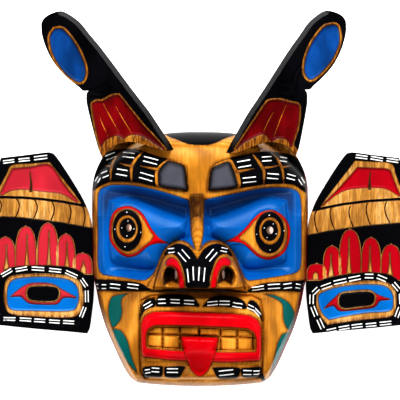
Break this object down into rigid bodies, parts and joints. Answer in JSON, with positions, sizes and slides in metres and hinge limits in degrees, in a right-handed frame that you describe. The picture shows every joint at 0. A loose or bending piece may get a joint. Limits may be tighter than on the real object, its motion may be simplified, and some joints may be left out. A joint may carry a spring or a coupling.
{
  "type": "sisiutl mask",
  "caption": "Carved and painted wooden sea-serpent mask: a hollow face with horns and side wings, lying on its back rim.",
  "frame": {"origin": "under the middle of the whole mask, on the plane of the face's flat back rim", "axes": "+X towards the wing at the picture's right, +Y towards the horns, +Z out of the face"},
  "size_m": [0.449, 0.3738, 0.1389],
  "materials": {
    "face_wood": "satin acrylic paint over oiled cedar",
    "horn_paint": "satin acrylic paint over oiled cedar",
    "wing_paint": "satin acrylic paint over oiled cedar"
  },
  "bodies": {
    "root": {"face": "face_wood", "horn_left": "horn_paint", "horn_right": "horn_paint", "wing_left": "wing_paint", "wing_right": "wing_paint"}
  },
  "joints": []
}
